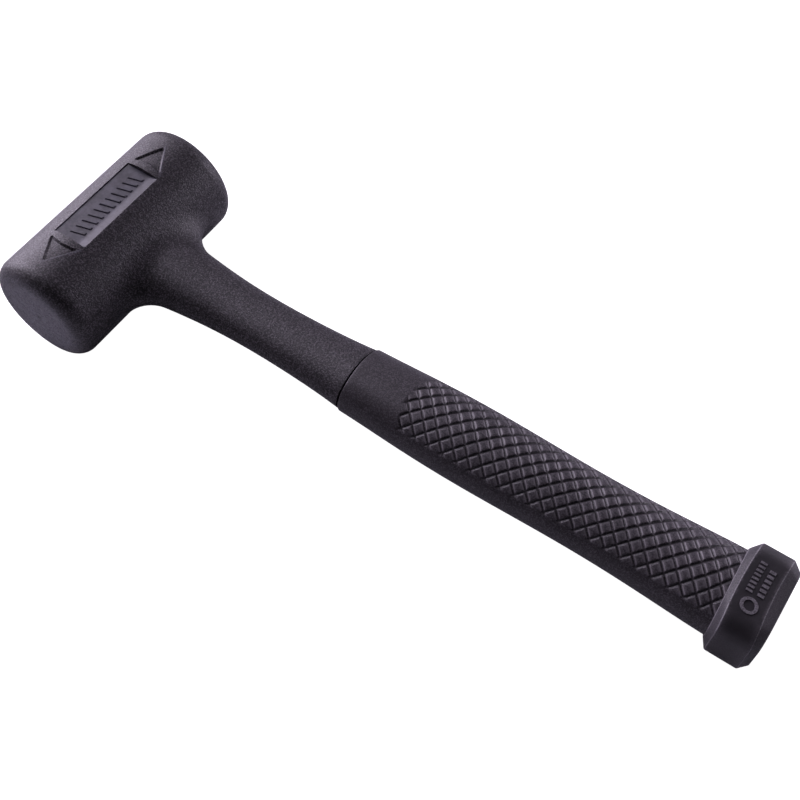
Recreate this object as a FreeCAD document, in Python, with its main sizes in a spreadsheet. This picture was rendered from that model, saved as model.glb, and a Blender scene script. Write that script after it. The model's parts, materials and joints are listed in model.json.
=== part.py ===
"""Dead blow mallet: a cast polyurethane head and handle over a canister of steel shot and a steel core.

Every sub-part is drawn in the mallet's own directions: X runs along the handle to the butt, Y along
the head's axis from the near face to the far face, and Z out of the flank with the name panel. The
whole mallet is then laid down, so that the head and the butt cap both rest on the plane Z = 0.
"""

import FreeCAD, Part
import math
import os
import re

import Sketcher

App = FreeCAD
V = App.Vector

# All lengths are in millimetres. A reach is a distance from the head's axis along the handle, and a
# half is half the handle's width there. A flatness is the handle's thickness over its width.
SIZES = {
    "head_radius": 22.5,
    "head_length": 89,
    "face_edge_radius": 6.5,
    "panel_length": 40.8,
    "panel_width": 14.8,
    "panel_floor_height": 20.8,
    "panel_ramp_width": 3.2,
    "arrow_base_reach": 22.2,
    "arrow_tip_reach": 34.3,
    "arrow_width": 14.4,
    "arrow_depth": 0.9,
    "arrow_base_bulge": 1.6,
    "neck_root_reach": 12,
    "neck_root_half": 16.4,
    "neck_flare_reach": 38,
    "neck_flare_half": 13.65,
    "neck_taper_reach": 56,
    "neck_taper_half": 11.95,
    "neck_waist_reach": 76,
    "neck_waist_half": 11.4,
    "neck_rise_reach": 96,
    "neck_rise_half": 11.95,
    "neck_flatness": 0.655,
    "neck_blend_radius": 16,
    "seam_reach": 115.5,
    "seam_half": 13.5,
    "tang_half": 9.6,
    "tang_flatness": 0.76,
    "grip_start_half": 13.85,
    "grip_swell_reach": 142,
    "grip_swell_half": 15,
    "grip_palm_reach": 169,
    "grip_palm_half": 15.4,
    "grip_waist_reach": 209,
    "grip_waist_half": 14.7,
    "grip_flare_reach": 234,
    "grip_flare_half": 15.2,
    "grip_end_half": 16.35,
    "grip_flatness": 0.72,
    "cap_reach": 260.4,
    "butt_reach": 278.2,
    "cap_width": 36.1,
    "cap_thickness": 27.6,
    "cap_corner_radius": 7.5,
    "cap_front_bevel_length": 3.2,
    "cap_front_bevel_depth": 1.7,
    "cap_rear_bevel_length": 4,
    "cap_rear_bevel_depth": 3,
    "cap_socket_depth": 9,
    "canister_radius": 17,
    "canister_wall": 2,
    "canister_length": 70,
    "canister_end_thickness": 4,
    "canister_weld_width": 3.2,
    "canister_weld_height": 1,
    "core_radius": 5,
    "core_reach": 263,
    "core_weld_leg": 3.5,
    "shot_radius": 2.9,
    "shot_spacing": 5.9,
    "shot_layers": 8,
}

doc = App.newDocument("dead_blow_mallet")
sheet = doc.addObject("Spreadsheet::Sheet", "sizes")
for row, (alias, value) in enumerate(SIZES.items(), start=1):
    sheet.set(f"A{row}", alias)
    sheet.set(f"B{row}", str(value))
    sheet.setAlias(f"B{row}", alias)
doc.recompute()

# How near two places are when they count as the same, and how far a cutting tool passes a surface.
TOUCH = 0.05
OVERSHOOT = 2


def cells(text):
    """An expression of sizes, with each of their names written as its cell in the sheet."""
    return re.sub(r"[a-z_]+", lambda word: f"sizes.{word[0]}" if word[0] in SIZES else word[0], text)


def worth(text):
    """What an expression of sizes comes to."""
    return float(sheet.evalExpression(cells(text)))


def bind(thing, attribute, text):
    thing.setExpression(attribute, cells(text))


# The mallet lies on its flank: it is turned about the head's axis until the cap's rear edge is as low
# as the head. The origin is under the middle of its length.
BAND_END = "butt_reach - cap_rear_bevel_length"
HALF_CAP = worth("cap_thickness / 2")
tilt = math.asin(worth("head_radius") / math.hypot(worth(BAND_END), HALF_CAP))
tilt -= math.atan2(HALF_CAP, worth(BAND_END))
butt_top = HALF_CAP - worth("cap_rear_bevel_depth")
butt_end = worth("butt_reach") * math.cos(tilt) + butt_top * math.sin(tilt)
LYING = App.Placement(
    V((worth("head_radius") - butt_end) / 2, 0, worth("head_radius")),
    App.Rotation(V(0, 1, 0), math.degrees(tilt)),
)


def new_body(label):
    body = doc.addObject("PartDesign::Body", label)
    body.Label = label
    body.Placement = LYING
    return body


def outline(body, name, role, corners, offset="0"):
    """A closed outline of straight edges on an origin plane. A corner is a pair of expressions of sizes."""
    sketch = body.newObject("Sketcher::SketchObject", name)
    plane = next(feature for feature in body.Origin.OriginFeatures if feature.Role == role)
    sketch.AttachmentSupport = [(plane, "")]
    sketch.MapMode = "FlatFace"
    bind(sketch, "AttachmentOffset.Base.z", offset)
    places = [V(worth(x), worth(y), 0) for x, y in corners]
    count = len(corners)
    for i in range(count):
        sketch.addGeometry(Part.LineSegment(places[i], places[(i + 1) % count]), False)
    for i in range(count):
        sketch.addConstraint(Sketcher.Constraint("Coincident", i, 2, (i + 1) % count, 1))
    for i, (x, y) in enumerate(corners):
        for kind, text in (("DistanceX", x), ("DistanceY", y)):
            index = sketch.addConstraint(Sketcher.Constraint(kind, -1, 1, i, 1, worth(text)))
            bind(sketch, f"Constraints[{index}]", text)
    return sketch


def revolve(body, sketch, axis, kind="Revolution"):
    """Turns a sketch fully about one of its own axes, as solid or as a groove."""
    feature = body.newObject(f"PartDesign::{kind}", f"{kind}_{sketch.Name}")
    feature.Profile = sketch
    feature.ReferenceAxis = (sketch, [axis])
    feature.Angle = 360
    doc.recompute()
    return feature


def turned_body(label, corners, axis="V_Axis"):
    """A body of revolution about the head's axis, V_Axis, or the handle's, H_Axis."""
    body = new_body(label)
    revolve(body, outline(body, f"{label}_profile", "XY_Plane", corners), axis)
    return body


def oval_loft(label, flatness, stations):
    """A smooth bar of oval section along the handle. A station is a pair: reach and half width."""
    ovals = []
    for i, (reach, half) in enumerate(stations):
        oval = doc.addObject("Part::Ellipse", f"{label}_oval_{i}")
        oval.Placement = App.Placement(V(), App.Rotation(V(0, 1, 0), V(0, 0, 1), V(1, 0, 0), "XYZ"))
        bind(oval, "Placement.Base.x", reach)
        bind(oval, "MajorRadius", half)
        bind(oval, "MinorRadius", f"{flatness} * {half}")
        ovals.append(oval)
    loft = doc.addObject("Part::Loft", label)
    loft.Sections = ovals
    loft.Solid = True
    loft.Placement = LYING
    doc.recompute()
    return loft


def cut(label, base, tool):
    result = doc.addObject("Part::Cut", label)
    result.Label = label
    result.Base = base
    result.Tool = tool
    doc.recompute()
    return result


def joined(label, pieces):
    result = doc.addObject("Part::MultiFuse", label)
    result.Shapes = pieces
    doc.recompute()
    return result


def edges_where(shape, test):
    """The names of a shape's edges whose middle, in the mallet's own directions, passes the test."""
    to_mallet = LYING.inverse()
    names = []
    for i, edge in enumerate(shape.Edges, start=1):
        middle = edge.valueAt((edge.FirstParameter + edge.LastParameter) / 2)
        if test(to_mallet.multVec(middle)):
            names.append(f"Edge{i}")
    return names


# ---- the steel inside -------------------------------------------------------------------------------


def canister():
    """The shot's tube, a disc pressed into each end, and the weld round each disc."""
    bore = "canister_radius - canister_wall"
    end = "canister_length / 2"
    parts = [
        turned_body(
            "canister_tube",
            [(bore, f"-{end}"), ("canister_radius", f"-{end}"), ("canister_radius", end), (bore, end)],
        )
    ]
    for side, sign in (("near", "-"), ("far", "")):
        inner = f"{sign}({end} - canister_end_thickness)"
        outer = f"{sign}{end}"
        corners = [("0", inner), (bore, inner), (bore, outer), ("0", outer)]
        parts.append(turned_body(f"canister_end_{side}", corners))
        crest = f"{sign}({end} + canister_weld_height)"
        bead = [
            (f"{bore} - canister_weld_width / 2", outer),
            (f"{bore} + canister_weld_width / 2", outer),
            (bore, crest),
        ]
        parts.append(turned_body(f"canister_weld_{side}", bead))
    return parts


def saddle(body):
    """Hollows a body's end to sit on the canister's flank."""
    end = "canister_length / 2"
    corners = [("0", f"-{end}"), ("canister_radius", f"-{end}"), ("canister_radius", end), ("0", end)]
    revolve(body, outline(body, f"{body.Name}_saddle", "XY_Plane", corners), "V_Axis", "Groove")
    return body


def handle_core():
    """The round steel bar that carries the head."""
    start = "canister_radius - canister_wall"
    corners = [(start, "0"), ("core_reach", "0"), ("core_reach", "core_radius"), (start, "core_radius")]
    return saddle(turned_body("handle_core", corners, "H_Axis"))


def core_weld():
    """The fillet of weld that joins the core to the canister."""
    start = "canister_radius - canister_wall"
    outer = "core_radius + core_weld_leg"
    corners = [
        (start, "core_radius"),
        (start, outer),
        ("canister_radius", outer),
        ("canister_radius + core_weld_leg", "core_radius"),
    ]
    return saddle(turned_body("core_weld", corners, "H_Axis"))


def shot_layer(centre_offset, reach):
    """Centres of one layer of close-packed balls inside a circle: pairs across the canister."""
    spacing = worth("shot_spacing")
    most = math.ceil(2 * reach / spacing)
    places = []
    for i in range(-most, most + 1):
        for j in range(-most, most + 1):
            across = (i + j / 2) * spacing
            up = j * spacing * math.sqrt(3) / 2 + centre_offset
            if math.hypot(across, up) <= reach:
                places.append((across, up))
    return places


def steel_shot():
    """The loose charge: layers of balls in close packing, every other layer in the hollows of the last."""
    spacing = worth("shot_spacing")
    layers = int(worth("shot_layers"))
    reach = worth("canister_radius - canister_wall - shot_radius")
    rise = spacing * math.sqrt(2 / 3)
    balls = []
    for layer in range(layers):
        along = (layer - (layers - 1) / 2) * rise
        for across, up in shot_layer(layer % 2 * spacing / math.sqrt(3), reach):
            balls.append(Part.makeSphere(worth("shot_radius"), V(across, along, up)))
    shot = doc.addObject("Part::Feature", "steel_shot")
    shot.Label = "steel_shot"
    shot.Shape = Part.makeCompound(balls)
    shot.Placement = LYING
    return shot


# ---- the castings outside ---------------------------------------------------------------------------


def head_block():
    """The head: a drum with soft face edges, and the name panel sunk flat into its upper flank."""
    body = new_body("head_block")
    end = "head_length / 2"
    corners = [("-head_radius", f"-{end}"), ("0", f"-{end}"), ("0", end), ("-head_radius", end)]
    drum = revolve(body, outline(body, "drum_profile", "XY_Plane", corners), "V_Axis")
    rims = edges_where(
        body.Shape,
        lambda p: math.isclose(math.hypot(p.x, p.z), worth("head_radius"), abs_tol=TOUCH)
        and math.isclose(abs(p.y), worth(end), abs_tol=TOUCH),
    )
    rounding = body.newObject("PartDesign::Fillet", "face_edges")
    rounding.Base = (drum, rims)
    bind(rounding, "Radius", "face_edge_radius")
    doc.recompute()
    across = "panel_width / 2"
    brim = f"sqrt(head_radius ^ 2 - ({across}) ^ 2)"
    section = [
        (f"-{across}", "panel_floor_height"),
        (f"{across} - panel_ramp_width", "panel_floor_height"),
        (across, brim),
        (across, f"head_radius + {OVERSHOOT}"),
        (f"-{across}", f"head_radius + {OVERSHOOT}"),
    ]
    panel = body.newObject("PartDesign::Pocket", "name_panel")
    panel.Profile = outline(body, "panel_section", "XZ_Plane", section)
    panel.Midplane = True
    bind(panel, "Length", "panel_length")
    doc.recompute()
    return body


def arrow_tool(side, sign):
    """What is taken out for one arrow: a triangle with a bowed base, whose floor keeps the drum's curve."""
    body = new_body(f"arrow_{side}")
    half, bulge = "arrow_width / 2", "arrow_base_bulge"
    base = f"{sign}arrow_base_reach"
    triangle = [(f"-{half}", base), (half, base), ("0", f"{sign}arrow_tip_reach")]
    pad = body.newObject("PartDesign::Pad", f"arrow_{side}_pad")
    pad.Profile = outline(body, f"arrow_{side}_outline", "XY_Plane", triangle)
    bind(pad, "Length", "head_radius + arrow_depth")
    floor, end = "head_radius - arrow_depth", "head_length / 2"
    corners = [("0", f"-{end}"), (floor, f"-{end}"), (floor, end), ("0", end)]
    revolve(body, outline(body, f"arrow_{side}_floor", "XY_Plane", corners), "V_Axis", "Groove")
    bow_radius = f"((({half}) ^ 2 + {bulge} ^ 2) / (2 * {bulge}))"
    bow = doc.addObject("Part::Cylinder", f"arrow_{side}_bow")
    bind(bow, "Radius", bow_radius)
    bind(bow, "Height", f"head_radius + {OVERSHOOT}")
    centre = f"{sign}(arrow_base_reach + {bulge} - {bow_radius})"
    bow.Placement = LYING * App.Placement(V(0, worth(centre), 0), App.Rotation())
    return cut(f"arrow_{side}_tool", body, bow)


def tang():
    """The part of the casting that runs inside the grip and into the cap."""
    stations = [("seam_reach", "tang_half"), ("cap_reach + cap_socket_depth", "tang_half")]
    return oval_loft("tang", "tang_flatness", stations)


def head_moulding(tang_bar, inserts):
    """Head, neck and tang in one casting, poured round the canister and the core."""
    neck = oval_loft(
        "neck",
        "neck_flatness",
        [
            ("neck_root_reach", "neck_root_half"),
            ("neck_flare_reach", "neck_flare_half"),
            ("neck_taper_reach", "neck_taper_half"),
            ("neck_waist_reach", "neck_waist_half"),
            ("neck_rise_reach", "neck_rise_half"),
            ("seam_reach", "seam_half"),
        ],
    )
    solid = joined("head_and_neck", [head_block(), neck])
    root = edges_where(
        solid.Shape,
        lambda p: p.x > worth("panel_width")
        and math.isclose(math.hypot(p.x, p.z), worth("head_radius"), abs_tol=TOUCH)
        and abs(p.y) < worth("neck_root_half") + OVERSHOOT,
    )
    blend = doc.addObject("Part::Fillet", "neck_blend")
    blend.Base = solid
    radius = worth("neck_blend_radius")
    blend.Edges = [(int(name[4:]), radius, radius) for name in root]
    doc.recompute()
    hollow = joined("inserts", inserts + [arrow_tool("near", "-"), arrow_tool("far", "")])
    return cut("head_moulding", joined("casting", [blend, tang_bar]), hollow)


def canister_space():
    """The room that the canister takes in the casting."""
    end = "canister_length / 2"
    corners = [("0", f"-{end}"), ("canister_radius", f"-{end}"), ("canister_radius", end), ("0", end)]
    return turned_body("canister_space", corners)


def grip_sleeve(tang_bar):
    """The rubber sleeve: swelled for the palm, waisted for the fingers and wider towards the cap."""
    sleeve = oval_loft(
        "sleeve",
        "grip_flatness",
        [
            ("seam_reach", "grip_start_half"),
            ("grip_swell_reach", "grip_swell_half"),
            ("grip_palm_reach", "grip_palm_half"),
            ("grip_waist_reach", "grip_waist_half"),
            ("grip_flare_reach", "grip_flare_half"),
            ("cap_reach", "grip_end_half"),
        ],
    )
    return cut("grip_sleeve", sleeve, tang_bar)


def butt_cap(tang_bar):
    """A block with round corners, bevelled front and back, and a socket for the tang."""
    body = new_body("cap_block")
    across, up = "cap_width / 2", "cap_thickness / 2"
    rectangle = [(f"-{across}", f"-{up}"), (across, f"-{up}"), (across, up), (f"-{across}", up)]
    block = body.newObject("PartDesign::Pad", "cap_pad")
    block.Profile = outline(body, "cap_outline", "YZ_Plane", rectangle, "cap_reach")
    bind(block, "Length", "butt_reach - cap_reach")
    doc.recompute()
    middle = worth("(cap_reach + butt_reach) / 2")
    rounding = body.newObject("PartDesign::Fillet", "cap_corners")
    corners = edges_where(body.Shape, lambda p: math.isclose(p.x, middle, abs_tol=TOUCH))
    rounding.Base = (block, corners)
    bind(rounding, "Radius", "cap_corner_radius")
    doc.recompute()
    base = rounding
    for end, reach in (("front", worth("cap_reach")), ("rear", worth("butt_reach"))):
        bevel = body.newObject("PartDesign::Chamfer", f"cap_{end}_bevel")
        rim = edges_where(body.Shape, lambda p: math.isclose(p.x, reach, abs_tol=TOUCH))
        bevel.Base = (base, rim)
        bevel.ChamferType = "Two distances"
        bind(bevel, "Size", f"cap_{end}_bevel_length")
        bind(bevel, "Size2", f"cap_{end}_bevel_depth")
        doc.recompute()
        base = bevel
    return cut("butt_cap", body, tang_bar)


def check(sub_parts):
    """Stops with the names of failed objects, or of sub-parts whose shape isn't sound."""
    failed = [o.Name for o in doc.Objects if {"Invalid", "Error"} & set(o.State)]
    failed += [o.Label for o in sub_parts if o.Shape.isNull() or not o.Shape.isValid()]
    if failed:
        raise RuntimeError(f"these did not build: {failed}")


tang_bar = tang()
steel = canister() + [handle_core(), core_weld()]
castings = [
    head_moulding(tang_bar, [canister_space()] + steel[1:]),
    grip_sleeve(tang_bar),
    butt_cap(tang_bar),
]
sub_parts = castings + steel + [steel_shot()]
doc.recompute()
check(sub_parts)
os.makedirs("parts", exist_ok=True)
for sub_part in sub_parts:
    sub_part.Shape.exportStep(f"parts/{sub_part.Label}.step")
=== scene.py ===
"""Looks of the dead blow mallet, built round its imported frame.

Shapes are worked out in the mallet's own directions, in millimetres: X runs down the handle from the
head's axis, Y along the head's axis, and Z out of the flank with the name panel. to_row() turns them
into the row's metres, in which the mallet lies on its flank.
"""

import json
import math

import bmesh
import bpy
import numpy as np
from mathutils import Matrix, Vector
from mathutils.geometry import delaunay_2d_cdt


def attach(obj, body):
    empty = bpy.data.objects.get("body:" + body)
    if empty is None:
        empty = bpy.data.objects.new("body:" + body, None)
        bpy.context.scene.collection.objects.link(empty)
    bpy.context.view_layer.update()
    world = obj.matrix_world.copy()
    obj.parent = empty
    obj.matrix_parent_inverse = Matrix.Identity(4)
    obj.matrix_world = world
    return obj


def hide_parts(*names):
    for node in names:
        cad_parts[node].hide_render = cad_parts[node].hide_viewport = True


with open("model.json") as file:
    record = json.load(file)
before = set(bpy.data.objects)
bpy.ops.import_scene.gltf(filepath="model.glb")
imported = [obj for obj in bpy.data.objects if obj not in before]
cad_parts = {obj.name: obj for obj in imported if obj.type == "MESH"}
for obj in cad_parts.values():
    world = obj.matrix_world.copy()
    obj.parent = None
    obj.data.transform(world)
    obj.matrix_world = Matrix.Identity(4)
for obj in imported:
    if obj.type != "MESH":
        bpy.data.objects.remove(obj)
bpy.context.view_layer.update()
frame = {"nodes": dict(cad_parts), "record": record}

# ---- the frame's own directions and sizes ----

MM = 0.001
mounts = {mount["name"]: mount for mount in frame["record"]["mounts"]}
near_face = Vector(mounts["striking_face_near"]["pos_m"])
far_face = Vector(mounts["striking_face_far"]["pos_m"])
butt_face = Vector(mounts["butt_end"]["pos_m"])
HEAD_CENTRE = (near_face + far_face) / 2
ALONG = Vector(mounts["butt_end"]["axis"]).normalized()
ACROSS = (far_face - near_face).normalized()
OUTWARD = ALONG.cross(ACROSS)
AXES = np.array([ALONG, ACROSS, OUTWARD])

# The visual model keeps this far inside the CAD model's box.
CLEARANCE = 0.015
HEAD_RADIUS = HEAD_CENTRE.z / MM - CLEARANCE
HEAD_HALF = (far_face - near_face).length / 2 / MM
BUTT = (butt_face - HEAD_CENTRE).dot(ALONG) / MM

# ---- sizes that the frame doesn't state ----

FACE_EDGE = 6.5
# Each station of the neck and the grip is a reach and a half width.
NECK_STATIONS = ((12, 16.4), (38, 13.65), (56, 11.95), (76, 11.4), (96, 11.95), (115.5, 13.5))
NECK_FLATNESS = 0.655
NECK_BLEND = 16
SEAM = 115.5
SEAM_GAP = 0.85
SEAM_DEPTH = 1.5
SEAM_EDGE = 0.45
TANG_HALF = 9.6
TANG_FLATNESS = 0.76
TANG_END = 269.4
GRIP_STATIONS = (
    (115.5, 13.85), (142, 15.0), (169, 15.4), (209, 14.7), (234, 15.2), (260.4, 16.35),
)
GRIP_FLATNESS = 0.72
CAP = 260.4
CAP_END = BUTT - 0.4
# The cap's sections: reach, half width, half thickness and corner radius.
CAP_FRONT = (CAP, 16.35, 11.77, 11.4)
CAP_BAND_START = (262.5, 18.05, 13.8, 7.5)
CAP_BAND_END = (273.6, 18.05, 13.8, 7.5)
CAP_BUTT = (CAP_END, 15.7, 11.2, 6.5)
CAP_EDGE = 0.4
# How wide a flat ring runs round each end of the cap.
CAP_END_RIM = 3
# How far the cap's ridges and its front joint lie back at their sides, and how far askew, at each reach.
BOW_REACHES = (CAP - 30, CAP, CAP_BAND_START[0], CAP_BAND_END[0], CAP_END)
BOWS = (0, 0.45, 1.1, 1.15, 0)
SKEWS = (0, 0.6, 0.1, 0.4, 0)

# The panel's and the arrows' sizes. A wall is as wide as its slope takes.
PANEL_HALF_LENGTH = 20.4
PANEL_HALF_WIDTH = 7.4
PANEL_FLOOR = 20.8
PANEL_RAMP = 3.2
ARROW_BASE = 22.2
ARROW_TIP = 34.3
ARROW_HALF_WIDTH = 7.2
ARROW_BULGE = 1.6
ARROW_DEPTH = 0.75
ARROW_WALL = 0.8
PANEL_WALL = 0.22

# The plain bars that stand in for the panel's lettering: how many, and their sizes.
BARS = 11
BAR_PITCH = 3.2
BAR_WIDTH = 1.4
BAR_LOW, BAR_HIGH = -2.6, 3.4
BAR_SLANT = 0.8
BAR_HEIGHT = 0.45
BAR_WALL = 0.3

# The plain ring and blocks that stand in for the cap's marks.
MARK_HEIGHT = 0.4
RING_PLACE = -7.3
RING_RADII = (3.0, 1.85)
RING_WALL = 0.15
BLOCKS_START = -3.4
BLOCK_HALF_LENGTH = 1.15
BLOCK_WALL = 0.12
# Each row's offset along the cap, and its blocks' count, pitch and width.
BLOCK_ROWS = ((-1.9, 8, 1.55, 1.05), (1.9, 6, 1.85, 1.3))


def to_row(points):
    """Points from the mallet's own directions in millimetres to the row's metres."""
    return np.asarray(points, float) @ AXES * MM + np.array(HEAD_CENTRE)


def through(stations):
    """The smooth curve through stations, each a reach and a half width."""
    reach, half = np.array(stations, float).T
    return np.polynomial.Polynomial.fit(reach, half, len(stations) - 1)


neck_half = through(NECK_STATIONS)
grip_half = through(GRIP_STATIONS)


def smoothstep(low, high, value):
    t = np.clip((value - low) / (high - low), 0, 1)
    return t * t * (3 - 2 * t)


def bowed(points):
    """Points with the cap's ridges and its joint with the sleeve bowed and a little askew."""
    points = np.array(points, float)
    across = points[:, 1] / CAP_BAND_END[1]
    bow = np.interp(points[:, 0], BOW_REACHES, BOWS)
    skew = np.interp(points[:, 0], BOW_REACHES, SKEWS)
    points[:, 0] += bow * across**2 - skew * across
    return points


class Skin:
    """The points, faces and marks of one piece. Patches that share an edge are welded at the end."""

    def __init__(self):
        self.points, self.faces, self.marks = [], [], []

    def add(self, points, mark=0.0):
        """Adds points and returns their numbers. A mark runs from -1 to 1, and the piece's material
        says what it means: above 0 a worn place, and on the arrows and the grip a painted highlight;
        below 0 the panel's smooth skin, and in the grip's grooves painted shade.
        """
        first = len(self.points)
        self.points.extend(tuple(p) for p in points)
        marks = np.broadcast_to(mark, len(points))
        self.marks.extend(float(m) for m in marks)
        return list(range(first, len(self.points)))

    def bridge(self, one, other):
        """Quads between two closed rings of equal count."""
        count = len(one)
        for k in range(count):
            after = (k + 1) % count
            self.faces.append((one[k], one[after], other[after], other[k]))

    def rings(self, loops, marks=None):
        """A tube of quads through closed loops of points. Returns the last ring's numbers."""
        previous = None
        for n, loop in enumerate(loops):
            ring = self.add(loop, 0.0 if marks is None else marks[n])
            if previous is not None:
                self.bridge(previous, ring)
            previous = ring
        return previous

    def fan(self, ring, centre):
        """Triangles from a closed ring to one point."""
        middle = self.add([centre])[0]
        for k in range(len(ring)):
            self.faces.append((ring[k], ring[(k + 1) % len(ring)], middle))

    def make(self, name, node, body="mallet", sharp_degrees=40):
        """The piece: one closed mesh in the row's metres, which stands for its CAD node."""
        mesh = bpy.data.meshes.new(name)
        mesh.from_pydata(to_row(self.points).tolist(), [], self.faces)
        mark = mesh.attributes.new("mark", "FLOAT", "POINT")
        mark.data.foreach_set("value", self.marks)
        work = bmesh.new()
        work.from_mesh(mesh)
        bmesh.ops.remove_doubles(work, verts=work.verts, dist=0.004 * MM)
        bmesh.ops.recalc_face_normals(work, faces=work.faces)
        work.to_mesh(mesh)
        work.free()
        mesh.shade_smooth()
        mesh.set_sharp_from_angle(angle=math.radians(sharp_degrees))
        piece = bpy.data.objects.new(name, mesh)
        bpy.context.scene.collection.objects.link(piece)
        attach(piece, body)
        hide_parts(node)
        return piece


def oval(reach, half, flatness, angles, inward=0.0):
    """A ring of the handle's section, drawn in by a width: angle 0 is the +Z side, 90 degrees the +Y."""
    across = half * np.sin(angles) - inward * np.sin(angles)
    up = half * flatness * np.cos(angles) - inward * np.cos(angles)
    return np.stack([np.full_like(angles, reach), across, up], axis=1)


# ---- relief cut in or raised from a flank ----


def inset(outline, width):
    """A closed outline, run anticlockwise, moved inwards by a width."""
    points = np.array(outline, float)
    before, after = np.roll(points, 1, axis=0), np.roll(points, -1, axis=0)

    def inward(a, b):
        along = (b - a) / np.linalg.norm(b - a, axis=1)[:, None]
        return np.stack([-along[:, 1], along[:, 0]], axis=1)

    n1, n2 = inward(before, points), inward(points, after)
    mitre = (n1 + n2) / (1 + np.sum(n1 * n2, axis=1))[:, None]
    return points + mitre * width


def divided(outline, step):
    """A closed outline with its edges divided, so that it can follow a curved flank."""
    points = []
    for a, b in zip(outline, np.roll(outline, -1, axis=0)):
        count = max(1, int(round(np.linalg.norm(np.subtract(b, a)) / step)))
        points += [np.add(a, np.subtract(b, a) * k / count) for k in range(count)]
    return np.array(points)


def inside(points, outline):
    """Which points lie in a closed outline."""
    x, y = np.asarray(points).T
    found = np.zeros(len(x), bool)
    for (x0, y0), (x1, y1) in zip(outline, np.roll(outline, -1, axis=0)):
        if y0 != y1:
            crosses = (y0 > y) != (y1 > y)
            found ^= crosses & (x < (x1 - x0) * (y - y0) / (y1 - y0) + x0)
    return found


def relief_patch(skin, border, base, features, step, marked=None):
    """A patch of flank with relief. border is its outline in X and Y and base(x, y) its height.

    Each feature is an outline, the heights outside and inside it, and how wide its wall is. A feature
    that lies in another comes after it. marked(points) gives the points' marks.
    """
    loops = [(np.array(border), base)]
    for outline, outer, inner, wall in features:
        loops.append((divided(outline, step), outer))
        loops.append((divided(inset(outline, wall), step), inner))
    low, high = np.min(border, axis=0), np.max(border, axis=0)
    counts = np.round((high - low) / step).astype(int)
    grid_x, grid_y = np.meshgrid(*(np.linspace(low[a], high[a], counts[a] + 1)[1:-1] for a in (0, 1)))
    grid = np.stack([grid_x.ravel(), grid_y.ravel()], axis=1)
    edge_points = np.concatenate([loop for loop, _ in loops[1:]])
    gaps = np.min(np.linalg.norm(grid[:, None] - edge_points[None], axis=2), axis=1)
    keep = gaps > step * 0.45
    for outline, _, _, wall in features:
        keep &= ~(inside(grid, outline) & ~inside(grid, inset(outline, wall)))
    grid = grid[keep]
    heights = base(grid[:, 0], grid[:, 1])
    for outline, _, inner, _ in features:
        held = inside(grid, outline)
        heights[held] = inner(grid[held, 0], grid[held, 1])
    flat, height, edges = [], [], []
    for loop, level in loops:
        first = len(flat)
        flat += [tuple(p) for p in loop]
        height += list(level(loop[:, 0], loop[:, 1]))
        edges += [(first + k, first + (k + 1) % len(loop)) for k in range(len(loop))]
    flat += [tuple(p) for p in grid]
    height += list(heights)
    made = delaunay_2d_cdt([Vector(p) for p in flat], edges, [], 1, 1e-5)
    source = [origins[0] for origins in made[3]]
    places = np.array([(p.x, p.y, height[source[k]]) for k, p in enumerate(made[0])])
    numbers = skin.add(places, marked(places) if marked else 0.0)
    skin.faces.extend(tuple(numbers[k] for k in face) for face in made[2])


# ---- head, neck and tang ----


def drum_height(x, y):
    return np.sqrt(HEAD_RADIUS**2 - x**2) + 0 * y


def panel_height(x, y):
    brim = math.sqrt(HEAD_RADIUS**2 - PANEL_HALF_WIDTH**2)
    ramp = np.clip((x - PANEL_HALF_WIDTH + PANEL_RAMP) / PANEL_RAMP, 0, 1)
    return PANEL_FLOOR + ramp * (brim - PANEL_FLOOR) + 0 * y


def flank_marks(points):
    """The panel's skin is smooth, marked -1; the arrows' sides towards the handle get a painted highlight,
    marked 0.75.
    """
    x, y = points[:, 0], np.abs(points[:, 1])
    in_panel = (np.abs(x) < PANEL_HALF_WIDTH - 0.05) & (y < PANEL_HALF_LENGTH - 0.05)
    run, rise = -ARROW_HALF_WIDTH, ARROW_TIP - ARROW_BASE
    share = np.clip(((x - ARROW_HALF_WIDTH) * run + (y - ARROW_BASE) * rise) / (run**2 + rise**2), 0, 1)
    off = np.hypot(x - ARROW_HALF_WIDTH - share * run, y - ARROW_BASE - share * rise)
    # 0.75 along the arrows' handle-side edges is a painted highlight.
    return np.where(in_panel, -1.0, 0.75 * (off < 0.3))


def arrow_height(x, y):
    return np.sqrt((HEAD_RADIUS - ARROW_DEPTH) ** 2 - x**2) + 0 * y


def arrow_outline(side):
    """A triangle that points at one face, with a base bowed towards its tip."""
    radius = (ARROW_HALF_WIDTH**2 + ARROW_BULGE**2) / (2 * ARROW_BULGE)
    half_turn = math.asin(ARROW_HALF_WIDTH / radius)
    turns = np.linspace(half_turn, -half_turn, 5)
    bow = ARROW_BASE + ARROW_BULGE - radius
    points = [(radius * math.sin(a), bow + radius * math.cos(a)) for a in turns] + [(0, ARROW_TIP)]
    if side > 0:
        return [(x, y) for x, y in reversed(points)]
    return [(x, -y) for x, y in points]


def slanted_bars():
    """The outlines of the leaning bars."""
    bars = []
    for k in range(BARS):
        y = (k - (BARS - 1) / 2) * BAR_PITCH
        left, right = y - BAR_WIDTH / 2, y + BAR_WIDTH / 2
        low = [(BAR_LOW, left - BAR_SLANT), (BAR_LOW, right - BAR_SLANT)]
        high = [(BAR_HIGH, left + BAR_SLANT), (BAR_HIGH, right + BAR_SLANT)]
        bars.append([low[0], high[0], high[1], low[1]])
    return bars


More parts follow.
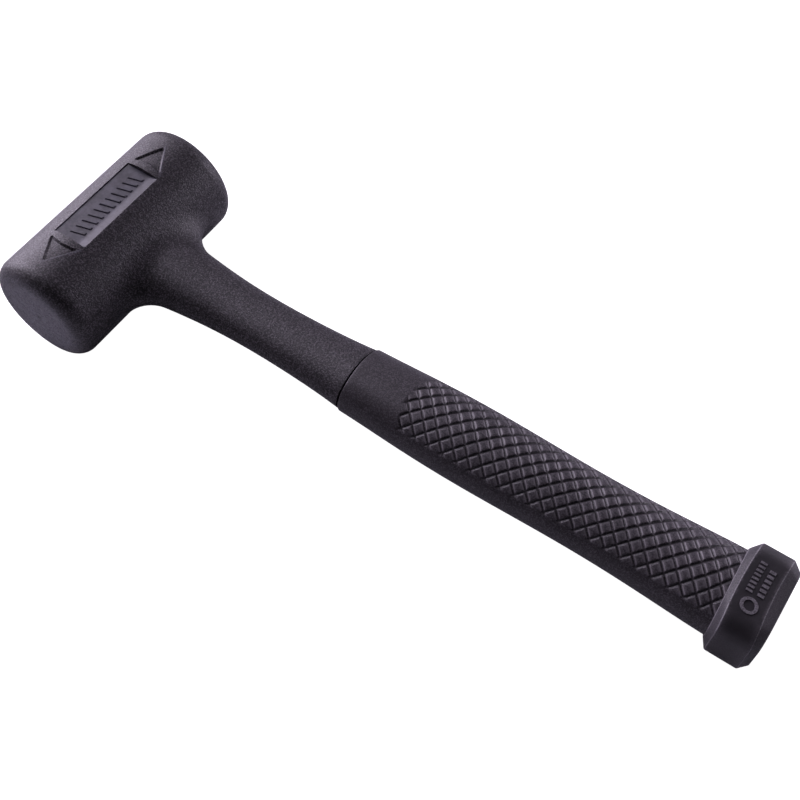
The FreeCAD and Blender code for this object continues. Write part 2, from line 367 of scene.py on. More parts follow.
def panel_features():
    """The sunk panel with its ramp, its row of raised bars, and the two arrows."""
    half, length = PANEL_HALF_WIDTH, PANEL_HALF_LENGTH
    panel = [(-half, -length), (half, -length), (half, length), (-half, length)]
    features = [(panel, drum_height, panel_height, PANEL_WALL)]

    def raised(x, y):
        return panel_height(x, y) + BAR_HEIGHT

    for bar in slanted_bars():
        features.append((bar, panel_height, raised, BAR_WALL))
    for side in (-1, 1):
        features.append((arrow_outline(side), drum_height, arrow_height, ARROW_WALL))
    return features


def neck_skin(reach, angles):
    """Points on the neck and the directions straight out of it, at a reach for each angle."""
    half = neck_half(reach)
    points = np.stack([reach, half * np.sin(angles), half * NECK_FLATNESS * np.cos(angles)], axis=1)
    taper = neck_half.deriv()(reach)
    outward = np.stack([-taper * NECK_FLATNESS, np.sin(angles) * NECK_FLATNESS, np.cos(angles)], axis=1)
    return points, outward / np.linalg.norm(outward, axis=1)[:, None]


def rolling_ball(angles):
    """Where a ball that touches both drum and neck has its centre and its two touching points."""
    low = np.full_like(angles, 15.0)
    high = np.full_like(angles, 55.0)
    for _ in range(40):
        middle = (low + high) / 2
        touch, outward = neck_skin(middle, angles)
        centre = touch + NECK_BLEND * outward
        short = np.hypot(centre[:, 0], centre[:, 2]) < HEAD_RADIUS + NECK_BLEND
        low, high = np.where(short, middle, low), np.where(short, high, middle)
    from_axis = centre * (1, 0, 1)
    from_axis /= np.linalg.norm(from_axis, axis=1)[:, None]
    return centre, centre - NECK_BLEND * from_axis, touch


def head_moulding():
    """The casting: a drum grid with a patch left out for the name panel and another for the neck."""
    skin = Skin()
    columns = 144
    turn = 360 / columns
    degrees = np.arange(columns + 1) * turn - 180
    straight = HEAD_HALF - FACE_EDGE
    rows = np.linspace(-straight, straight, 77)
    neck_turn, neck_reach = (45, 135), 32
    panel_turn, panel_reach = 25, 36

    def on_drum(angle, y, radius=HEAD_RADIUS):
        return (radius * math.sin(math.radians(angle)), y, radius * math.cos(math.radians(angle)))

    # The drum grid.
    for i in range(len(rows) - 1):
        middle_y = (rows[i] + rows[i + 1]) / 2
        for j in range(columns):
            middle = (degrees[j] + degrees[j + 1]) / 2
            in_neck = neck_turn[0] < middle < neck_turn[1] and abs(middle_y) < neck_reach
            in_panel = abs(middle) < panel_turn and abs(middle_y) < panel_reach
            if not in_neck and not in_panel:
                corners = [(j, i), (j + 1, i), (j + 1, i + 1), (j, i + 1)]
                skin.faces.append(tuple(skin.add([on_drum(degrees[a], rows[b]) for a, b in corners])))

    # The two faces with their soft edges.
    for side in (-1, 1):
        loops, marks = [], []
        for a in np.linspace(0, math.pi / 2, 12):
            radius = HEAD_RADIUS - FACE_EDGE * (1 - math.cos(a))
            y = side * (straight + FACE_EDGE * math.sin(a))
            loops.append([on_drum(angle, y, radius) for angle in degrees[:-1]])
            marks.append(math.sin(a) ** 8 * 0.7)
        flat_radius = HEAD_RADIUS - FACE_EDGE
        for share in np.linspace(0.93, 0.12, 12):
            loops.append([on_drum(angle, side * HEAD_HALF, flat_radius * share) for angle in degrees[:-1]])
            marks.append(1.0)
        skin.fan(skin.rings(loops, marks), (0, side * HEAD_HALF, 0))

    # The patch with the panel and the arrows, whose border lies on the drum grid's lines.
    steps = int(2 * panel_turn / turn)
    edge_x = [HEAD_RADIUS * math.sin(math.radians(-panel_turn + turn * k)) for k in range(steps)]
    edge_y = [y for y in rows if -panel_reach - 0.01 < y < panel_reach - 0.01]
    border = [(x, -panel_reach) for x in edge_x] + [(-edge_x[0], y) for y in edge_y]
    border += [(-x, panel_reach) for x in edge_x] + [(edge_x[0], -y) for y in edge_y]
    relief_patch(skin, border, drum_height, panel_features(), 0.8, flank_marks)

    # The neck: from the gap in the drum grid, over the fillet and down to the seam, then the tang.
    sides = [y for y in rows if abs(y) < neck_reach + 0.01]
    ends = [d for d in degrees if neck_turn[0] - 0.01 < d < neck_turn[1] + 0.01]
    rim = [on_drum(ends[0], y) for y in sides[:-1]] + [on_drum(d, sides[-1]) for d in ends[:-1]]
    rim += [on_drum(ends[-1], -y) for y in sides[:-1]] + [on_drum(180 - d, -sides[-1]) for d in ends[:-1]]
    rim = np.array(rim)
    angles = np.arctan2(rim[:, 1] / neck_reach, rim[:, 2] / rim[:, 2].max())
    centre, on_head, on_neck = rolling_ball(angles)
    loops = []
    turns = np.arctan2(rim[:, 0], rim[:, 2]), np.arctan2(on_head[:, 0], on_head[:, 2])
    for t in np.linspace(0, 1, 5)[:-1]:
        turned = turns[0] * (1 - t) + turns[1] * t
        along = rim[:, 1] * (1 - t) + on_head[:, 1] * t
        loops.append(np.stack([HEAD_RADIUS * np.sin(turned), along, HEAD_RADIUS * np.cos(turned)], axis=1))
    for t in np.linspace(0, 1, 17):
        spoke = (on_head - centre) * (1 - t) + (on_neck - centre) * t
        loops.append(centre + spoke * NECK_BLEND / np.linalg.norm(spoke, axis=1)[:, None])
    free_reach = 50
    for t in np.linspace(0, 1, 13)[1:]:
        loops.append(neck_skin(on_neck[:, 0] * (1 - t) + free_reach * t, angles)[0])
    neck_end = SEAM - SEAM_GAP
    lip = SEAM_EDGE / 2
    for reach in np.linspace(free_reach, neck_end - lip, 62)[1:]:
        loops.append(oval(reach, neck_half(reach), NECK_FLATNESS, angles))
    for a in np.linspace(0, math.pi / 2, 5)[1:]:
        reach = neck_end - lip * (1 - math.sin(a))
        loops.append(oval(reach, neck_half(neck_end), NECK_FLATNESS, angles, lip * (1 - math.cos(a))))
    floor = neck_half(neck_end) - SEAM_DEPTH, neck_half(neck_end) * NECK_FLATNESS - SEAM_DEPTH
    for reach in (neck_end, SEAM):
        loops.append(oval(reach, floor[0], floor[1] / floor[0], angles))
    for reach in np.linspace(SEAM, TANG_END, 20):
        loops.append(oval(reach, TANG_HALF, TANG_FLATNESS, angles))
    skin.fan(skin.rings(loops), (TANG_END, 0, 0))
    return skin.make("head_casting", "head_moulding")


# ---- grip sleeve ----

PADS_AROUND = 13
PATTERN_HALF_ROWS = 44
PATTERN_START = 135.7
PAD_LENGTH = 5.71
PATTERN_END = PATTERN_START + PATTERN_HALF_ROWS / 2 * PAD_LENGTH
# How far the pattern turns over its length, as a share of the way round.
PATTERN_TWIST = -0.0105
# How far round each side the field of pads reaches, in degrees from the top, and where it starts: at
# the top, and how much later 60 degrees round each side.
FIELD_LEAN_NEAR, FIELD_LEAN_FAR = 55.5, 60
FIELD_START = 137.2
FIELD_DELAY_NEAR, FIELD_DELAY_FAR = 3.6, 4.6
# A groove across its width, from its middle, in pads: a flat bottom, a sloped wall and the pad's crown.
GROOVE_PLACES = (0, 0.03, 0.16, 0.21, 0.5)
GROOVE_DEPTHS = (0.52, 0.52, 0.08, 0.04, 0)
# Painted light on the grooves of each family at those places: below 0 painted shade, above 0 a painted
# highlight.
# One family gets the highlight on its walls and a little shade at its bottom, the other painted shade at
# its bottom.
PAINTED_HIGHLIGHT_GROOVE = (-0.4, -0.3, 1, 0.4, 0)
PAINTED_SHADE_GROOVE = (-1, -1, 0.1, 0.1, 0)
# Where mesh lines lie across one pad, from one groove's middle to the next: close together at the walls.
PAD_LINES = np.array([0, 0.03, 0.095, 0.16, 0.21, 0.35, 0.5, 0.65, 0.79, 0.84, 0.905, 0.97])


def sleeve_angles(share):
    """The oval's angle at each share of the way round the sleeve, measured along its surface."""
    angles = np.linspace(0, 2 * math.pi, 2881)
    steps = np.hypot(np.diff(np.sin(angles)), GRIP_FLATNESS * np.diff(np.cos(angles)))
    travelled = np.concatenate([[0], np.cumsum(steps)])
    return np.interp(np.mod(share, 1), travelled / travelled[-1], angles)


def pad_line(number):
    """Where a numbered mesh line lies, in pads."""
    count = len(PAD_LINES)
    return number // count + PAD_LINES[number % count]


def grip_sleeve():
    """The sleeve. Its mesh runs with the two families of grooves, so each groove is cut clean."""
    skin = Skin()
    count = len(PAD_LINES)
    around = PADS_AROUND * count
    rows = PATTERN_HALF_ROWS * count
    total, one = np.meshgrid(np.arange(rows + 1), np.arange(around), indexing="ij")
    u, v = pad_line(one), pad_line(total - one)
    along = PATTERN_START + (u + v) / 2 * PAD_LENGTH
    last_pad = CAP - PAD_LENGTH
    reach = np.interp(along, (PATTERN_START, last_pad, PATTERN_END), (PATTERN_START, last_pad, CAP))
    twist = PATTERN_TWIST * (reach - PATTERN_START) / (CAP - PATTERN_START)
    angles = sleeve_angles((u - v) / 2 / PADS_AROUND + twist)
    off_u, off_v = np.abs(u - np.round(u)), np.abs(v - np.round(v))
    off = np.minimum(off_u, off_v)
    cut = np.interp(off, GROOVE_PLACES, GROOVE_DEPTHS)
    lean = np.degrees(np.arcsin(np.abs(np.sin(angles))))
    near = np.sin(angles) < 0
    widest = np.where(near, FIELD_LEAN_NEAR, FIELD_LEAN_FAR)
    start = FIELD_START + np.where(near, FIELD_DELAY_NEAR, FIELD_DELAY_FAR) * (lean / 60) ** 2
    present = (1 - smoothstep(widest - 3, widest + 1.5, lean)) * smoothstep(0, 1.3, reach - start)
    depth = cut * present
    half = grip_half(reach)
    thick = half * GRIP_FLATNESS
    normal = np.stack([np.sin(angles) / half, np.cos(angles) / thick], axis=-1)
    normal /= np.linalg.norm(normal, axis=-1)[..., None]
    side = half * np.sin(angles) - depth * normal[..., 0]
    height = thick * np.cos(angles) - depth * normal[..., 1]
    points = np.stack([reach, side, height], axis=-1)
    # One family of grooves gets a painted highlight on its walls, the other painted shade in its bottoms.
    painted_highlight_marks = np.interp(off_u, GROOVE_PLACES, PAINTED_HIGHLIGHT_GROOVE)
    marks = np.where(off_u < off_v, painted_highlight_marks, np.interp(off_v, GROOVE_PLACES, PAINTED_SHADE_GROOVE))
    marks = (marks * present).ravel()
    numbers = np.array(skin.add(points.reshape(-1, 3), marks)).reshape(rows + 1, around)
    after = np.roll(numbers, -1, axis=1)
    quads = np.stack([numbers[:-2], after[1:-1], after[2:], numbers[1:-1]], axis=-1).reshape(-1, 4)
    first = np.stack([after[0], after[1], numbers[0]], axis=-1)
    last = np.stack([numbers[-2], after[-1], numbers[-1]], axis=-1)
    skin.faces.extend(tuple(face) for group in (quads, first, last) for face in group.tolist())

    # The plain collar and its rounded lip at the seam.
    front_share = pad_line(np.arange(around)) / PADS_AROUND
    front_angles = sleeve_angles(front_share)
    loops = []
    for a in np.linspace(0, math.pi / 2, 5):
        lip_reach = SEAM + SEAM_EDGE * (1 - math.cos(a))
        inward = SEAM_EDGE * (1 - math.sin(a))
        loops.append(oval(lip_reach, grip_half(SEAM), GRIP_FLATNESS, front_angles, inward))
    for ring_reach in np.linspace(SEAM + SEAM_EDGE, PATTERN_START, 20)[1:]:
        loops.append(oval(ring_reach, grip_half(ring_reach), GRIP_FLATNESS, front_angles))
    skin.rings(loops)

    # The bore that holds the tang, which joins the lip to the pattern's last row.
    middle = PATTERN_HALF_ROWS * count // 2
    back_share = (pad_line(np.arange(middle, middle + around)) - PATTERN_HALF_ROWS / 2) / PADS_AROUND
    back = points[-1][(np.arange(middle, middle + around)) % around]
    bore = [loops[0]]
    for t in np.linspace(0, 1, 20):
        bore_angles = sleeve_angles(front_share * (1 - t) + back_share * t)
        bore.append(oval(SEAM + t * (CAP - SEAM), TANG_HALF, TANG_FLATNESS, bore_angles))
    bore.append(back)
    skin.rings(bore)
    skin.points = bowed(skin.points)
    return skin.make("grip_rubber_sleeve", "grip_sleeve")


# ---- butt cap ----

CORNER_STEPS = 12
TOP_STEPS = 21
SIDE_STEPS = 10


def cap_ring(reach, half_y, half_z, radius):
    """A section of the cap: straight sides and round corners, from the +Y +Z corner."""
    flat_y, flat_z = half_y - radius, half_z - radius
    steps = (SIDE_STEPS, TOP_STEPS, SIDE_STEPS, TOP_STEPS)
    centres = ((flat_y, flat_z), (flat_y, -flat_z), (-flat_y, -flat_z), (-flat_y, flat_z))
    points = []
    for quarter, (y, z) in enumerate(centres):
        for k in range(CORNER_STEPS):
            a = (quarter + k / CORNER_STEPS) * math.pi / 2
            points.append((y + radius * math.sin(a), z + radius * math.cos(a)))
        a = (quarter + 1) * math.pi / 2
        start = np.array((y + radius * math.sin(a), z + radius * math.cos(a)))
        next_y, next_z = centres[(quarter + 1) % 4]
        end = np.array((next_y + radius * math.sin(a), next_z + radius * math.cos(a)))
        for k in range(steps[quarter]):
            points.append(tuple(start + (end - start) * k / steps[quarter]))
    return [(reach, y, z) for y, z in points]


def rounded_profile(corners, radius, steps=4):
    """A line through corners with each inner corner rounded by an arc-like bend."""
    points = [tuple(corners[0])]
    for a, b, c in zip(corners, corners[1:], corners[2:]):
        a, b, c = np.array(a, float), np.array(b, float), np.array(c, float)
        start = b + (a - b) / np.linalg.norm((a - b)[:3]) * radius
        end = b + (c - b) / np.linalg.norm((c - b)[:3]) * radius
        for t in np.linspace(0, 1, steps + 1):
            points.append(tuple((1 - t) ** 2 * start + 2 * t * (1 - t) * b + t**2 * end))
    return points + [tuple(corners[-1])]


def cap_marks():
    """The outlines and heights of the ring and the blocks, raised on the cap's upper face."""

    def face(x, y):
        return CAP_BAND_END[2] + 0 * x

    def raised(x, y):
        return face(x, y) + MARK_HEIGHT

    middle = (CAP_BAND_START[0] + CAP_BAND_END[0]) / 2
    features = []
    turns = np.linspace(0, 2 * math.pi, 33)[:-1]
    for radius, outer, inner in zip(RING_RADII, (face, raised), (raised, face)):
        circle = [(middle + radius * math.cos(a), RING_PLACE + radius * math.sin(a)) for a in turns]
        features.append((circle, outer, inner, RING_WALL))
    for row, count, pitch, width in BLOCK_ROWS:
        front, back = middle + row - BLOCK_HALF_LENGTH, middle + row + BLOCK_HALF_LENGTH
        for k in range(count):
            y = BLOCKS_START + (k + 0.5) * pitch
            left, right = y - width / 2, y + width / 2
            block = [(front, left), (back, left), (back, right), (front, right)]
            features.append((block, face, raised, BLOCK_WALL))
    return features, face


def rubbed(points):
    """What stands out of the cap's upper face is rubbed paler."""
    return np.where(points[:, 2] > CAP_BAND_END[2] + 0.1, 0.7, 0.0)


def butt_cap():
    """The bevelled block: its rings, the marked patch in its upper face, and the socket for the tang."""
    skin = Skin()
    inner_front = (CAP, *(size - CAP_END_RIM for size in CAP_FRONT[1:]))
    inner_butt = (CAP_END, *(size - CAP_END_RIM for size in CAP_BUTT[1:]))
    corners = [inner_front, CAP_FRONT, CAP_BAND_START, CAP_BAND_END, CAP_BUTT, inner_butt]
    profile = rounded_profile(corners, CAP_EDGE)
    # The band's straight part starts after the first point and two bends of five points.
    split = 1 + 2 * 5
    straight = np.linspace(CAP_BAND_START[0] + CAP_EDGE, CAP_BAND_END[0] - CAP_EDGE, 10)
    band = [(reach, *CAP_BAND_END[1:]) for reach in straight[1:-1]]
    profile = profile[:split] + band + profile[split:]
    edges = np.array([CAP_FRONT[0], CAP_BAND_START[0], CAP_BAND_END[0], CAP_END])
    rings = []
    for number, (reach, *section) in enumerate(profile):
        off = np.min(np.abs(reach - edges)) if 0 < number < len(profile) - 1 else 10
        rings.append(skin.add(cap_ring(reach, *section), 1.0 if off < 0.2 else 0.3 * math.exp(-off)))
    top = 4 * CORNER_STEPS + 2 * SIDE_STEPS + TOP_STEPS
    for number, (one, other) in enumerate(zip(rings, rings[1:])):
        for k in range(len(one)):
            on_patch = k >= top and split - 1 <= number < split + len(straight) - 2
            after = (k + 1) % len(one)
            if not on_patch:
                skin.faces.append((one[k], one[after], other[after], other[k]))
    skin.fan(rings[-1], (CAP_END, 0, 0))

    flat = CAP_BAND_END[1] - CAP_BAND_END[3]
    edge_y = np.linspace(-flat, flat, TOP_STEPS + 1)
    border = [(x, -flat) for x in straight[:-1]] + [(straight[-1], y) for y in edge_y[:-1]]
    border += [(x, flat) for x in straight[:0:-1]] + [(straight[0], y) for y in edge_y[:0:-1]]
    features, face = cap_marks()
    relief_patch(skin, border, face, features, 0.6, rubbed)

    mouth = np.array(skin.points)[rings[0]]
    angles = np.arctan2(mouth[:, 1] / CAP_FRONT[1], mouth[:, 2] / CAP_FRONT[2])
    socket = [oval(reach, TANG_HALF, TANG_FLATNESS, angles) for reach in (CAP, TANG_END)]
    skin.fan(skin.rings([mouth] + socket), (TANG_END, 0, 0))
    skin.points = bowed(skin.points)
    return skin.make("butt_end_cap", "butt_cap", sharp_degrees=50)


# ---- materials ----


def new_material(name):
    """A material with only its output and shader. Returns the material, its node tree and its shader."""
    material = bpy.data.materials.new(name)
    material.use_nodes = True
    tree = material.node_tree
    tree.nodes.clear()
    output = tree.nodes.new("ShaderNodeOutputMaterial")
    shader = tree.nodes.new("ShaderNodeBsdfPrincipled")
    tree.links.new(shader.outputs[0], output.inputs["Surface"])
    return material, tree, shader


def noise(tree, scale, detail=3.0, roughness=0.6, stretch=None):
    """Noise in the row's metres. A stretch under 1 along an axis draws its grains out along that axis."""
    place = tree.nodes.new("ShaderNodeTexCoord").outputs["Object"]
    if stretch:
        mapping = tree.nodes.new("ShaderNodeMapping")
        mapping.inputs["Scale"].default_value = stretch
        tree.links.new(place, mapping.inputs["Vector"])
        place = mapping.outputs[0]
    texture = tree.nodes.new("ShaderNodeTexNoise")
    texture.inputs["Scale"].default_value = scale
    texture.inputs["Detail"].default_value = detail
    texture.inputs["Roughness"].default_value = roughness
    tree.links.new(place, texture.inputs["Vector"])
    return texture.outputs["Fac"]


def spread(tree, value, from_low, from_high, to_low, to_high):
    """Maps a value from one range to another, held at the ends."""
    node = tree.nodes.new("ShaderNodeMapRange")
    node.inputs["From Min"].default_value = from_low
    node.inputs["From Max"].default_value = from_high
    node.inputs["To Min"].default_value = to_low
    node.inputs["To Max"].default_value = to_high
    tree.links.new(value, node.inputs["Value"])
    return node.outputs["Result"]


def mix(tree, share, one, other):
    """Mixes two colours, each a colour or a socket, by a socket's share."""
    node = tree.nodes.new("ShaderNodeMix")
    node.data_type = "RGBA"
    tree.links.new(share, node.inputs["Factor"])
    for name, value in (("A", one), ("B", other)):
        socket = next(s for s in node.inputs if s.name == name and s.type == "RGBA")
        if isinstance(value, bpy.types.NodeSocket):
            tree.links.new(value, socket)
        else:
            socket.default_value = (*value, 1)
    return next(s for s in node.outputs if s.type == "RGBA")


def maths(tree, operation, *values):
    node = tree.nodes.new("ShaderNodeMath")
    node.operation = operation
    for socket, value in zip(node.inputs, values):
        if isinstance(value, bpy.types.NodeSocket):
            tree.links.new(value, socket)
        else:
            socket.default_value = value
    return node.outputs[0]


def mark_of(tree):
    node = tree.nodes.new("ShaderNodeAttribute")
    node.attribute_name = "mark"
    return node.outputs["Fac"]


def bump(tree, shader, layers):
    """Stacks bumps on a shader. Each layer is a height socket, its strength and its depth in metres."""
    normal = None
    for height, strength, distance in layers:
        node = tree.nodes.new("ShaderNodeBump")
        node.inputs["Strength"].default_value = strength
        node.inputs["Distance"].default_value = distance
        tree.links.new(height, node.inputs["Height"])
        if normal:
            tree.links.new(normal, node.inputs["Normal"])
        normal = node.outputs[0]
    tree.links.new(normal, shader.inputs["Normal"])


def cast_polyurethane():
    """Black polyurethane with the sandy skin of a spark-eroded mould, smooth in the panel, scuffed on
    the faces, with a painted highlight along the arrows' sides towards the handle."""
    material, tree, shader = new_material("cast_polyurethane_skin")
    grain = noise(tree, 1700, 2.0, 0.75)
    clouds = noise(tree, 55, 3.0)
    scuffs = noise(tree, 1000, 3.0, 0.75)
    mottle = noise(tree, 260, 3.0, 0.7)
    deep = mix(tree, spread(tree, clouds, 0.35, 0.65, 0, 1), (0.008, 0.0075, 0.009), (0.012, 0.011, 0.013))
    sandy = mix(tree, spread(tree, grain, 0.48, 0.62, 0, 1), deep, (0.125, 0.112, 0.128))
    # Above 0 the mark is wear on the faces and their edges, and a painted highlight along the arrows'
    # handle-side edges; both take this pale colour.
    worn = maths(tree, "MULTIPLY", mark_of(tree), spread(tree, scuffs, 0.40, 0.64, 0.3, 1))
    worn_and_painted_highlight = mix(tree, worn, sandy, (0.21, 0.205, 0.25))
    smooth = maths(tree, "MULTIPLY", mark_of(tree), -1.0)
    polish = mix(tree, spread(tree, mottle, 0.38, 0.62, 0, 1), (0.030, 0.030, 0.041), (0.078, 0.077, 0.100))
    colour = mix(tree, smooth, worn_and_painted_highlight, polish)
    tree.links.new(colour, shader.inputs["Base Color"])
    rough = maths(tree, "MULTIPLY", spread(tree, smooth, 0, 1, 1, 0), spread(tree, grain, 0.3, 0.7, 0.2, 0))
    tree.links.new(maths(tree, "ADD", rough, 0.34), shader.inputs["Roughness"])
    shader.inputs["Specular IOR Level"].default_value = 0.55
    relief = maths(tree, "MULTIPLY", grain, spread(tree, smooth, 0, 1, 1, 0.08))
    bump(tree, shader, [(relief, 0.7, 0.00030), (clouds, 0.2, 0.0004)])
    return material


def grip_rubber():
    """Softer black rubber: a fine grained matte skin, with painted shade in the grooves and a painted
    highlight on one family's groove walls.
    """
    material, tree, shader = new_material("grip_rubber_skin")
    grain = noise(tree, 1900, 2.0, 0.75)
    clouds = noise(tree, 70, 3.0)
    top = mix(tree, spread(tree, clouds, 0.35, 0.65, 0, 1), (0.023, 0.021, 0.024), (0.033, 0.030, 0.034))
    grained = mix(tree, spread(tree, grain, 0.46, 0.64, 0, 1), top, (0.105, 0.095, 0.109))
    # Painted highlight where the mark is above 0, on one family's groove walls.
    painted_highlight_share = maths(tree, "MULTIPLY", mark_of(tree), spread(tree, clouds, 0.35, 0.65, 0.5, 1))
    with_painted_highlight = mix(tree, painted_highlight_share, grained, (0.30, 0.28, 0.305))
    # Painted shade in the grooves where the mark is below 0.
    grooves = maths(tree, "MULTIPLY", mark_of(tree), -0.7)
    colour = mix(tree, grooves, with_painted_highlight, (0.008, 0.007, 0.008))
    tree.links.new(colour, shader.inputs["Base Color"])
    tree.links.new(spread(tree, grain, 0.3, 0.7, 0.50, 0.35), shader.inputs["Roughness"])
    bump(tree, shader, [(grain, 0.5, 0.0002), (clouds, 0.15, 0.0003)])
    return material


def cap_polyurethane():
    """The cap's smoother skin, rubbed paler along its bevels' edges."""
    material, tree, shader = new_material("cap_polyurethane_skin")
    grain = noise(tree, 2400, 2.0, 0.6)
    clouds = noise(tree, 90, 3.0)
    base = mix(tree, spread(tree, clouds, 0.35, 0.65, 0, 1), (0.024, 0.022, 0.026), (0.034, 0.031, 0.036))
    worn = maths(tree, "MULTIPLY", mark_of(tree), spread(tree, grain, 0.35, 0.6, 0.3, 1))
    tree.links.new(mix(tree, worn, base, (0.28, 0.265, 0.29)), shader.inputs["Base Color"])
    tree.links.new(spread(tree, grain, 0.3, 0.7, 0.56, 0.42), shader.inputs["Roughness"])
    bump(tree, shader, [(grain, 0.35, 0.00012), (clouds, 0.15, 0.0003)])
    return material


def steel(name, low, high, roughness, stretch):
    """Bare steel with drawn marks along one direction and patches of dull oxide."""
    material, tree, shader = new_material(name)
    drawn = noise(tree, 900, 3.0, 0.6, stretch)
    patches = noise(tree, 120, 4.0, 0.65)
    colour = mix(tree, spread(tree, patches, 0.4, 0.65, 0, 1), high, low)
    tree.links.new(colour, shader.inputs["Base Color"])
    shader.inputs["Metallic"].default_value = 1.0
    tree.links.new(spread(tree, patches, 0.35, 0.7, roughness, roughness + 0.2), shader.inputs["Roughness"])
    bump(tree, shader, [(drawn, 0.25, 0.00006), (patches, 0.2, 0.0001)])
    return material


def dress_cad_nodes():
    """Steel finishes for the inner pieces, which keep their CAD shape."""
    drawn_tube = steel("drawn_tube_steel", (0.24, 0.22, 0.21), (0.46, 0.45, 0.44), 0.34, (1, 0.05, 1))
    drawn_bar = steel("drawn_bar_steel", (0.26, 0.24, 0.23), (0.48, 0.47, 0.46), 0.32, (0.05, 1, 1))
    pressed = steel("pressed_disc_steel", (0.26, 0.25, 0.24), (0.50, 0.49, 0.48), 0.36, (1, 1, 1))
    weld = steel("weld_bead_steel", (0.10, 0.09, 0.11), (0.34, 0.30, 0.26), 0.42, (1, 1, 1))
    shot = steel("cast_shot_steel", (0.30, 0.30, 0.31), (0.56, 0.56, 0.57), 0.28, (1, 1, 1))
    finishes = {
        "canister_tube": drawn_tube,
        "canister_end_near": pressed,
        "canister_end_far": pressed,
        "canister_weld_near": weld,
        "canister_weld_far": weld,
        "handle_core": drawn_bar,
        "core_weld": weld,
        "steel_shot": shot,
    }
    for node, material in finishes.items():
        mesh = frame["nodes"][node].data
        mesh.materials.clear()
        mesh.materials.append(material)


# ---- stage, light and camera ----


# The table and its sweep, in metres, and how strongly they and the room glow.
SWEEP_FLAT = 2.5
SWEEP_BEND = 1.2
SWEEP_WALL = 3.0
TABLE_GLOW = 1.16
ROOM_GLOW = 0.015
LIGHT_TINT = (1.06, 0.96, 1.16)
# The softboxes stand this far, in metres, from a point on the neck at this reach, in millimetres.
LIGHT_DISTANCE = 2.0
LIGHT_AIM = BUTT * 0.3

# The camera, in the mallet's own directions: degrees, millimetres and a lens for a 36 mm sensor.
CAMERA_AZIMUTH = 34.0
CAMERA_ELEVATION = 58.1
CAMERA_DISTANCE = 407.6
CAMERA_TARGET = (132.4, 1.2, 0)
CAMERA_LENS = 51.3
CAMERA_ROLL = 0.17


def stage_floor():
    """A plain pale light table whose rim sweeps up into a wall, so that every view ends in white."""
    profile = [(SWEEP_FLAT * share, 0.0) for share in np.linspace(0.1, 1, 8)]
    for a in np.linspace(0, math.pi / 2, 9)[1:]:
        profile.append((SWEEP_FLAT + SWEEP_BEND * math.sin(a), SWEEP_BEND * (1 - math.cos(a))))
    profile.append((SWEEP_FLAT + SWEEP_BEND, SWEEP_WALL))
    turns = np.linspace(0, 2 * math.pi, 97)[:-1]
    points = [(r * math.cos(t), r * math.sin(t), z) for r, z in profile for t in turns]
    count = len(turns)
    faces = [tuple(range(count))]
    for ring in range(len(profile) - 1):
        for k in range(count):
            after = (k + 1) % count
            faces.append(
                (ring * count + k, (ring + 1) * count + k, (ring + 1) * count + after, ring * count + after)
            )
    mesh = bpy.data.meshes.new("studio_sweep")
    mesh.from_pydata(points, [], faces)
    mesh.shade_smooth()
    floor = bpy.data.objects.new("studio_sweep", mesh)
    bpy.context.scene.collection.objects.link(floor)
    floor.visible_diffuse = False
    floor.visible_glossy = False
    floor.visible_shadow = False
    material, tree, shader = new_material("pale_table")
    paper = noise(tree, 30, 2.0)
    colour = mix(tree, paper, (0.86, 0.86, 0.86), (0.88, 0.88, 0.88))
    tree.links.new(colour, shader.inputs["Base Color"])
    tree.links.new(colour, shader.inputs["Emission Color"])
    shader.inputs["Emission Strength"].default_value = TABLE_GLOW
    shader.inputs["Roughness"].default_value = 0.9
    mesh.materials.append(material)


def bounce_board():
    """A pale board just under the table, which throws the softboxes' light back up at the mallet."""
    reach = SWEEP_FLAT
    mesh = bpy.data.meshes.new("bounce_board")
    corners = [(-reach, -reach), (reach, -reach), (reach, reach), (-reach, reach)]
    mesh.from_pydata([(x, y, -0.1 * MM) for x, y in corners], [], [(0, 1, 2, 3)])
    board = bpy.data.objects.new("bounce_board", mesh)
    bpy.context.scene.collection.objects.link(board)
    board.visible_camera = False
    material, tree, shader = new_material("bounce_paper")
    paper = noise(tree, 30, 2.0)
    tree.links.new(mix(tree, paper, (0.70, 0.70, 0.74), (0.74, 0.74, 0.78)), shader.inputs["Base Color"])
    shader.inputs["Roughness"].default_value = 0.95
    mesh.materials.append(material)


def softbox(name, direction, size, power):
    """A soft light in a direction from the neck, in the mallet's own axes; metres and watts."""
    light = bpy.data.lights.new(name, "AREA")
    light.shape = "RECTANGLE"
    light.size, light.size_y = size
    light.energy = power
    light.color = LIGHT_TINT
    lamp = bpy.data.objects.new(name, light)
    bpy.context.scene.collection.objects.link(lamp)
    toward = Vector(np.array(direction, float) @ AXES).normalized()
    lamp.location = Vector(to_row([(LIGHT_AIM, 0, 0)])[0]) + toward * LIGHT_DISTANCE
    lamp.rotation_euler = toward.to_track_quat("Z", "Y").to_euler()
    lamp.visible_camera = False


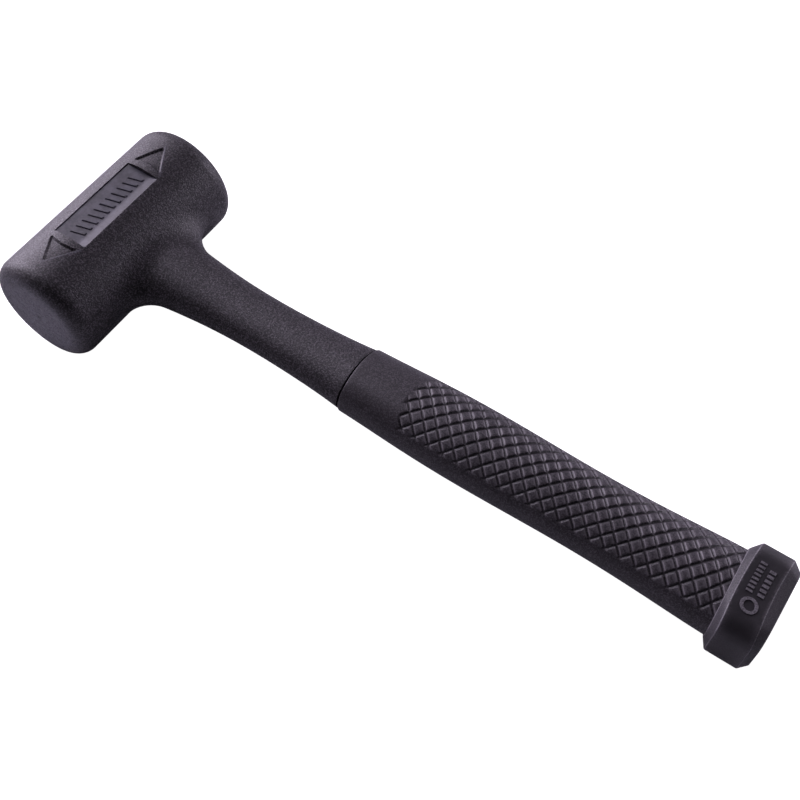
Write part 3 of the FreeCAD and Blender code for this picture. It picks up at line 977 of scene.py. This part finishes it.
def light_studio():
    world = bpy.data.worlds.new("soft_studio")
    bpy.context.scene.world = world
    world.use_nodes = True
    background = world.node_tree.nodes["Background"]
    background.inputs["Color"].default_value = (1, 1, 1, 1)
    background.inputs["Strength"].default_value = ROOM_GLOW
    softbox("key_softbox", (-0.82, 0.16, 0.50), (1.3, 1.0), 17.5)
    softbox("brow_softbox", (-0.57, 0.0, 0.82), (1.1, 1.0), 5.8)
    softbox("low_softbox", (-0.98, 0.10, 0.09), (1.3, 1.0), 24)
    softbox("far_softbox", (0.50, 0.86, 0.09), (1.1, 1.0), 20.5)
    softbox("back_softbox", (-0.51, 0.70, 0.50), (1.1, 1.0), 3.2)
    softbox("fill_softbox", (0.51, 0.70, 0.50), (1.1, 1.0), 2.3)
    bpy.context.scene.view_settings.view_transform = "Standard"


def add_camera():
    """The camera looks down on the name panel's flank from the near face's side of the butt."""
    azimuth, elevation = math.radians(CAMERA_AZIMUTH), math.radians(CAMERA_ELEVATION)
    away = np.array(
        [
            math.sin(azimuth) * math.cos(elevation),
            -math.cos(azimuth) * math.cos(elevation),
            math.sin(elevation),
        ]
    )
    right = np.array([math.cos(azimuth), math.sin(azimuth), 0])
    up = np.cross(away, right)
    place = np.array(CAMERA_TARGET) + away * CAMERA_DISTANCE
    camera_data = bpy.data.cameras.new("studio_camera")
    camera_data.lens = CAMERA_LENS
    camera_data.sensor_width = 36
    camera_data.clip_start = 0.01
    camera = bpy.data.objects.new("studio_camera", camera_data)
    bpy.context.scene.collection.objects.link(camera)
    roll = math.radians(CAMERA_ROLL)
    right, up = right * math.cos(roll) + up * math.sin(roll), up * math.cos(roll) - right * math.sin(roll)
    columns = [Vector(direction @ AXES) for direction in (right, up, away)]
    turn = Matrix(columns).transposed().to_4x4()
    camera.matrix_world = Matrix.Translation(Vector(to_row([place])[0])) @ turn
    bpy.context.scene.camera = camera


head_moulding().data.materials.append(cast_polyurethane())
grip_sleeve().data.materials.append(grip_rubber())
butt_cap().data.materials.append(cap_polyurethane())
dress_cad_nodes()
stage_floor()
bounce_board()
light_studio()
add_camera()
